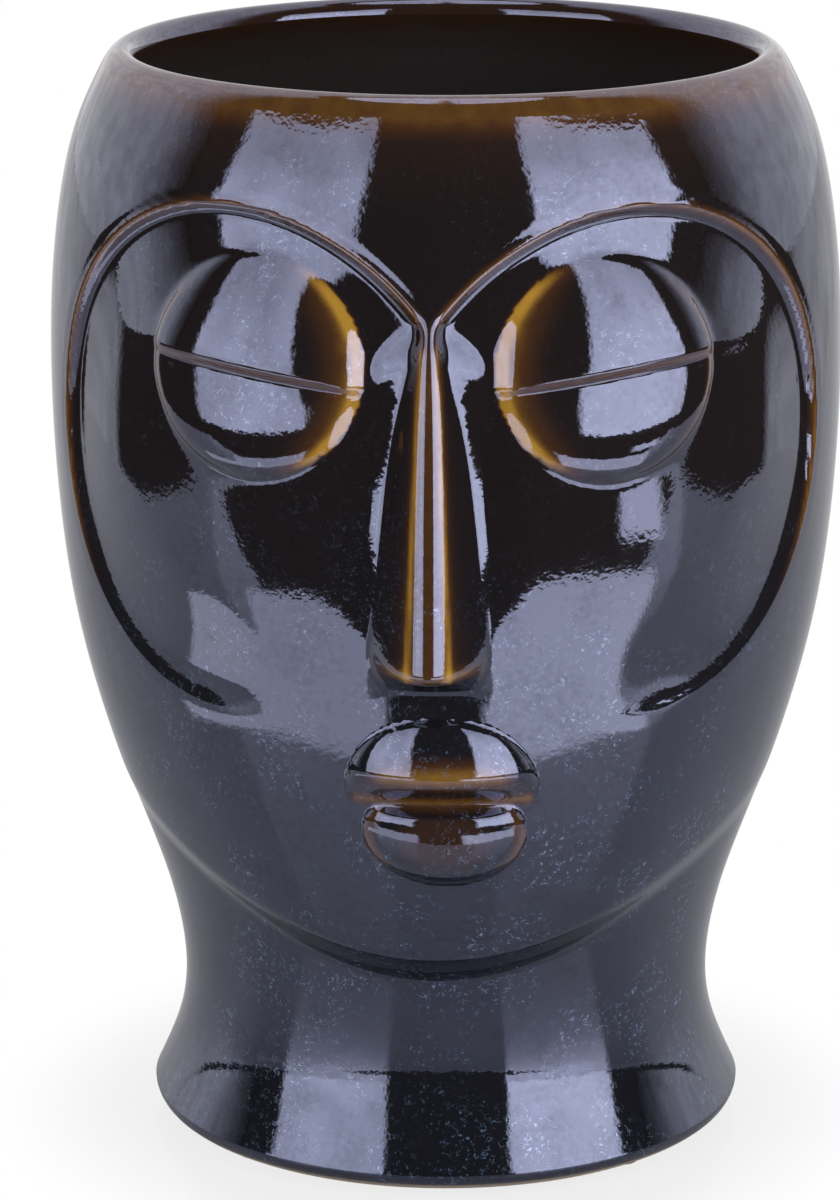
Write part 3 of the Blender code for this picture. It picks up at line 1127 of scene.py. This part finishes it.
    def inner_share(self, rise: Array) -> Array:
        """How far each point lies inside the pot.

        Args:
            rise: Each point's level.

        Returns:
            A share, 0 outside and on the rim and 1 from a little way below it.
        """
        rim = self.face.outline.level_of(-1)
        below_rim = 1.0 - smooth_step(rise, rim - self.inside_fade, rim)
        hollow = (rise > self.floor_top - self.chamfer) & (np.arange(len(rise))[:, None] >= self.face_rows)
        return below_rim * hollow

    def thin_glaze(self, turn: Array, rise: Array) -> Array:
        """How thin the glaze lies on each point: the face's own share, and bands that fade from the rim.

        Args:
            turn: Each point's angle.
            rise: Each point's level.

        Returns:
            A share from 0 to 1 at each point.
        """
        rim = self.face.outline.level_of(-1)
        share = np.zeros_like(rise)
        share[: self.face_rows] = self.face.thin(turn[: self.face_rows], rise[: self.face_rows])
        edge = self.edge_band * smooth_step(rise, rim - self.edge_band_depth, rim)
        brow = smooth_step(rise, rim - self.brow_band_from, rim - self.brow_band_to)
        outer_band = edge + self.brow_band * brow
        inner_band = self.mouth_band * smooth_step(rise, rim - self.mouth_band_depth, rim)
        outer = np.arange(len(rise))[:, None] < self.face_rows + self.rim_rows
        return np.clip(np.maximum(share, np.where(outer, outer_band, inner_band)), 0.0, 1.0)


@dataclass
class DrainStopper:
    """The soft stopper in the drain hole: a stem below, a flange on the floor and a knob to pull."""

    pot: GlazedPot
    fit_gap: float = 0.0003
    floor_thickness: float = 0.008
    flange_radius: float = 0.014
    flange: float = 0.0024
    stem_drop: float = 0.0008
    neck_radius: float = 0.0032
    neck: float = 0.0045
    knob_radius: float = 0.0062
    knob: float = 0.0056
    corner: float = 0.0001
    columns: int = 72
    finish: SoftSilicone = field(default_factory=SoftSilicone)

    def section(self) -> Array:
        """The turned section from the stem's underside to the knob's top, its corners eased by small arcs.

        Returns:
            Rows of (radius, level) above the pot's floor.
        """
        stem = self.pot.drain_radius - self.fit_gap
        bottom = -self.floor_thickness - self.fit_gap - self.stem_drop
        top = self.flange + self.neck
        ease = 0.2 * stem
        fillet = 0.25 * self.flange
        reach = self.flange_radius
        underside = np.array([(0.0, bottom), (0.5 * stem, bottom)])
        toe = quarter((stem - ease, bottom + ease), (ease, ease), -90.0, 0.0, 5)
        shank = np.array([(stem, -3.0 * fillet), (stem, -self.corner), (stem + fillet, 0.0)])
        rim = np.array([(reach - fillet, 0.0), (reach - self.corner, self.corner)])
        edge = quarter((reach - self.flange, 0.0), (self.flange, self.flange), 20.0, 90.0, 8)
        plate = np.array([(self.neck_radius + 3.0 * fillet, self.flange)])
        bend = (self.neck_radius + fillet, self.flange + fillet)
        hollow = quarter(bend, (fillet, fillet), -90.0, -180.0, 5)
        grip = quarter((0.0, top + 0.5 * self.knob), (self.knob_radius, 0.5 * self.knob), -58.0, 90.0, 16)
        return np.concatenate((underside, toe, shank, rim, edge, plate, hollow, grip))

    def build(self) -> Piece:
        """Turns the section about the pot's axis.

        Returns:
            The stopper's object, riding on its own body.
        """
        level = self.pot.stand + self.pot.floor_top + self.fit_gap
        piece = turned("silicone_stopper", self.section(), self.columns, (0.0, self.pot.axis_back, level))
        piece.data.materials.append(self.finish.material())
        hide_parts("drain_stopper")
        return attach(piece, Body.STOPPER.value)


@dataclass
class FootPads:
    """Felt pads under the foot ring, with pressed edges."""

    pot: GlazedPot
    radius: float = 0.0038
    thickness: float = 0.0012
    columns: int = 40
    finish: PressedFelt = field(default_factory=PressedFelt)

    def section(self) -> Array:
        """A disc's section with rounded edges: flat below and above, a half circle at the side.

        Returns:
            Rows of (radius, level) above the floor.
        """
        half = 0.5 * self.thickness
        side = quarter((self.radius - half, half), (half, half), -90.0, 90.0, 9)
        below = np.array([(0.0, 0.0), (0.4 * self.radius, 0.0), (0.75 * self.radius, 0.0)])
        above = below[::-1] + np.array([0.0, self.thickness])
        return np.concatenate((below, side, above))

    def build(self) -> list[Piece]:
        """Places one pad at each corner of the foot ring.

        Returns:
            The pads' objects, riding on the pot.
        """
        flat = self.pot.face.outline.radius_of(0) - self.pot.foot_edge
        middle = flat - 0.5 * self.pot.foot_ring
        felt = self.finish.material()
        pads = []
        for place in PadPlace:
            turn = math.radians(place.value)
            name = place.name.lower()
            centre = (middle * math.cos(turn), self.pot.axis_back + middle * math.sin(turn), 0.0)
            pad = turned(f"felt_pad_{name}", self.section(), self.columns, centre)
            pad.data.materials.append(felt)
            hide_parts(f"foot_pad_{name}")
            pads.append(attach(pad, Body.POT.value))
        return pads


@dataclass(frozen=True)
class Softbox:
    """A glowing patch of a sphere round the pot, in degrees from the camera's side and above the floor.

    Its top may slope from its inner to its outer end, and its glow may change from below to its top.
    """

    name: str
    sides: Pair
    low: float
    tops: Pair
    distance: float
    strengths: Pair
    fade_from: float = 0.0
    side_fade: float = 0.5
    unevenness: float = 0.45
    columns: int = 25
    rows: int = 17

    def build(self, studio: "Studio") -> Piece:
        """Lays a grid of azimuth and elevation on the sphere, whose glow fades at its ends.

        Args:
            studio: The studio that says where the sphere's middle is and how it is turned.

        Returns:
            The patch, hidden from the camera.
        """
        along, upwards = np.linspace(*self.sides, self.columns), np.linspace(0.0, 1.0, self.rows)
        degrees, share = np.meshgrid(along, upwards)
        top = np.interp(np.abs(degrees), sorted(abs(side) for side in self.sides), self.tops)
        around, above = np.radians(degrees), np.radians(mixed(self.low, top, share))
        reach = self.distance * np.cos(above)
        x, y, z = reach * np.sin(around), -reach * np.cos(around), self.distance * np.sin(above)
        points = studio.placed(np.stack((x, y, z), axis=-1), studio.middle)
        patch = surface(self.name, points, grid_faces(*around.shape, False, False).tolist())
        carry(patch, "glow", between(degrees, *self.sides, self.side_fade))
        graph = Graph(self.name)
        fades = [self.distance * math.sin(math.radians(e)) for e in (self.fade_from, self.tops[0])]
        upward = graph.step(graph.height(), studio.middle + fades[0], studio.middle + fades[1])
        uneven = graph.spread(graph.noise(4.0, 3.0), 1.0 - self.unevenness, 1.0 + self.unevenness)
        lit = graph.times(uneven, graph.attribute("glow"))
        strength = graph.times(graph.spread(upward, *self.strengths), lit)
        graph.show(graph.add("Emission", Strength=strength).outputs["Emission"])
        patch.data.materials.append(graph.material)
        patch.visible_camera = False
        return patch


@dataclass(frozen=True)
class BounceCard:
    """A glowing piece of a ring that lies round the pot at the table's level, in degrees like a softbox."""

    name: str
    sides: Pair
    reaches: Pair
    strength: float
    side_fade: float = 3.0
    inner_fade: float = 0.008
    lift: float = 0.001
    steepness: Pair = (0.14, 0.30)
    columns: int = 49
    rows: int = 13

    def build(self, studio: "Studio") -> Piece:
        """Lays a grid of azimuth and radius just above the table, whose glow fades at its inside and ends.

        It shows only to what looks down on it steeply enough.

        Args:
            studio: The studio that says how it is turned.

        Returns:
            The card, hidden from the camera.
        """
        inner = self.reaches[0]
        along, outwards = np.linspace(*self.sides, self.columns), np.linspace(*self.reaches, self.rows)
        degrees, reach = np.meshgrid(along, outwards)
        around = np.radians(degrees)
        local = np.stack((reach * np.sin(around), -reach * np.cos(around), np.zeros_like(reach)), axis=-1)
        points = studio.placed(local, self.lift)
        card = surface(self.name, points, grid_faces(*around.shape, False, False).tolist())
        ends = between(degrees, *self.sides, self.side_fade)
        carry(card, "glow", ends * smooth_step(reach, inner, inner + self.inner_fade))
        graph = Graph(self.name)
        light = graph.add("Emission", Strength=self.strength).outputs["Emission"]
        slope = graph.add("LayerWeight").outputs["Facing"]
        steep = graph.step(graph.sum(Sum.LESS, 1.0, slope), *self.steepness)
        clear = graph.add("BsdfTransparent").outputs["BSDF"]
        graph.mix(graph.times(graph.attribute("glow"), steep), clear, light)
        card.data.materials.append(graph.material)
        card.visible_camera = False
        return card


@dataclass
class Studio:
    """A white table in a dark room, with softboxes, a backdrop, cards at the table's level and the camera."""

    pot: GlazedPot
    turn: float = math.radians(2.3)
    middle: float = 0.12
    table_front: float = -0.24
    table_back: float = 1.6
    table_half_width: float = 0.54
    table_white: Colour = (0.50, 0.50, 0.51)
    table_roughness: float = 0.12
    shade_reaches: Pair = (0.066, 0.105)
    shade_whites: Pair = (0.80, 1.0)
    mirrored_reaches: Pair = (0.16, 0.60)
    mirrored_whites: Pair = (0.0, 0.24)
    room: Colour = (0.035, 0.034, 0.036)
    camera_distance: float = 1.0
    camera_height: float = 0.387
    camera_pitch: float = math.radians(15.34)
    image_height: float = 1200.0
    focal_pixels: float = 4747.0
    axis_pixels_right: float = 26.0
    sensor_height: float = 24.0

    def placed(self, local: Array, level: float) -> Array:
        """Points of the studio, turned about the pot's axis and set at a level.

        Args:
            local: Points about the axis, with the camera's side along -Y.
            level: The height that they are measured from.

        Returns:
            Points in the planter's own frame.
        """
        x, y, z = np.moveaxis(np.asarray(local, dtype=float), -1, 0)
        c, s = math.cos(self.turn), math.sin(self.turn)
        return np.stack((c * x - s * y, s * x + c * y + self.pot.axis_back, z + level), axis=-1)

    def table(self) -> Piece:
        """A white table that ends in front of the pot; away from the foot the camera sees plain white.

        Returns:
            The table.
        """
        across = np.array([-self.table_half_width, self.table_half_width])
        along = np.array([self.table_front, self.table_back])
        x, y = np.meshgrid(across, along)
        points = self.placed(np.stack((x, y, np.zeros_like(x)), axis=-1), 0.0)
        table = surface("white_table", points, grid_faces(2, 2, False, False).tolist())
        graph = Graph("white_table")
        graph.paint("Base Color", (*self.table_white, 1.0))
        graph.paint("Roughness", self.table_roughness)
        white = graph.add("Emission").outputs["Emission"]
        ray = graph.add("LightPath").outputs
        reach = graph.add("VectorMath", {"operation": "LENGTH"}, Vector=graph.place).outputs["Value"]
        clear = graph.spread(graph.step(reach, *self.shade_reaches), *self.shade_whites)
        seen = graph.times(clear, ray["Is Camera Ray"])
        pale = graph.spread(graph.step(reach, *self.mirrored_reaches), *self.mirrored_whites)
        mirrored = graph.times(pale, ray["Is Glossy Ray"])
        share = graph.sum(Sum.MOST, seen, mirrored)
        graph.mix(share, graph.shader.outputs["BSDF"], white)
        table.data.materials.append(graph.material)
        return table

    def softboxes(self) -> list[Softbox]:
        """The lights: a softbox and a low strip on each side, a backdrop with a skirt, a panel above."""
        left, right = (-70.0, -23.0), (24.0, 71.0)
        return [
            Softbox("left_softbox", left, -7.5, (45.5, 38.5), 0.9, (2.8, 1.75), 20.0),
            Softbox("right_softbox", right, -7.5, (46.5, 37.0), 0.9, (3.9, 2.2), 20.0),
            Softbox("left_low_strip", left, -7.0, (-2.0, -2.0), 3.2, (2.05, 2.05)),
            Softbox("right_low_strip", right, -7.0, (-2.0, -2.0), 3.2, (3.0, 3.0)),
            Softbox("white_backdrop", (84.0, 276.0), -2.0, (68.0, 68.0), 3.2, (1.05, 1.05), side_fade=24.0),
            Softbox("overhead_panel", (0.0, 360.0), 74.0, (89.0, 89.0), 1.6, (2.2, 2.2)),
            Softbox("backdrop_skirt", (116.0, 244.0), -18.0, (-2.0, -2.0), 3.2, (0.77, 0.77)),
        ]

    def cards(self) -> list[BounceCard]:
        """White cards in front of and beside the pot, which brighten the cheeks from below."""
        return [
            BounceCard("left_card", (-57.0, -16.0), (0.236, 0.370), 1.7),
            BounceCard("left_near_card", (-80.0, -53.0), (0.236, 0.295), 1.7, lift=0.002),
            BounceCard("right_card", (10.0, 60.0), (0.236, 0.400), 2.5),
            BounceCard("far_right_card", (46.0, 62.0), (0.455, 0.560), 2.9),
        ]

    def world(self) -> None:
        """A dark room, which the camera sees as plain white."""
        world = bpy.data.worlds.new("dark_room")
        bpy.context.scene.world = world
        world.use_nodes = True
        nodes, links = world.node_tree.nodes, world.node_tree.links
        blend = nodes.new("ShaderNodeMix")
        blend.data_type = "RGBA"
        blend.inputs["A"].default_value = (*self.room, 1.0)
        blend.inputs["B"].default_value = (1.0, 1.0, 1.0, 1.0)
        links.new(nodes.new("ShaderNodeLightPath").outputs["Is Camera Ray"], blend.inputs["Factor"])
        links.new(blend.outputs["Result"], nodes["Background"].inputs["Color"])

    def camera(self) -> Piece:
        """A long lens in front of the face, a little above it, with the frame moved sideways.

        Returns:
            The camera, which the scene now uses.
        """
        lens = bpy.data.cameras.new("camera")
        lens.sensor_fit = "VERTICAL"
        lens.sensor_height = self.sensor_height
        lens.lens = self.sensor_height * self.focal_pixels / self.image_height
        lens.shift_x = -self.axis_pixels_right / self.image_height
        camera = bpy.data.objects.new("camera", lens)
        place = (0.0, -self.camera_distance, self.camera_height)
        camera.location = self.placed(place, self.pot.stand)
        camera.rotation_euler = (math.pi / 2 - self.camera_pitch, 0.0, self.turn)
        bpy.context.scene.collection.objects.link(camera)
        bpy.context.scene.camera = camera
        return camera

    def build(self) -> None:
        """Sets up the camera, the table, the lights and the room."""
        self.camera()
        self.table()
        for light in (*self.softboxes(), *self.cards()):
            light.build(self)
        self.world()
        bpy.context.scene.view_settings.view_transform = "Standard"


def main() -> None:
    """Builds the studio and the planter's pieces in order."""
    logging.basicConfig(level=logging.INFO, format="%(name)s: %(message)s")
    pot = GlazedPot()
    Studio(pot).build()
    pieces = [pot.build(), DrainStopper(pot).build(), *FootPads(pot).build()]
    for piece in pieces:
        log.info("%s: %d points, %d faces", piece.name, len(piece.data.vertices), len(piece.data.polygons))


if __name__ == "__main__":
    main()
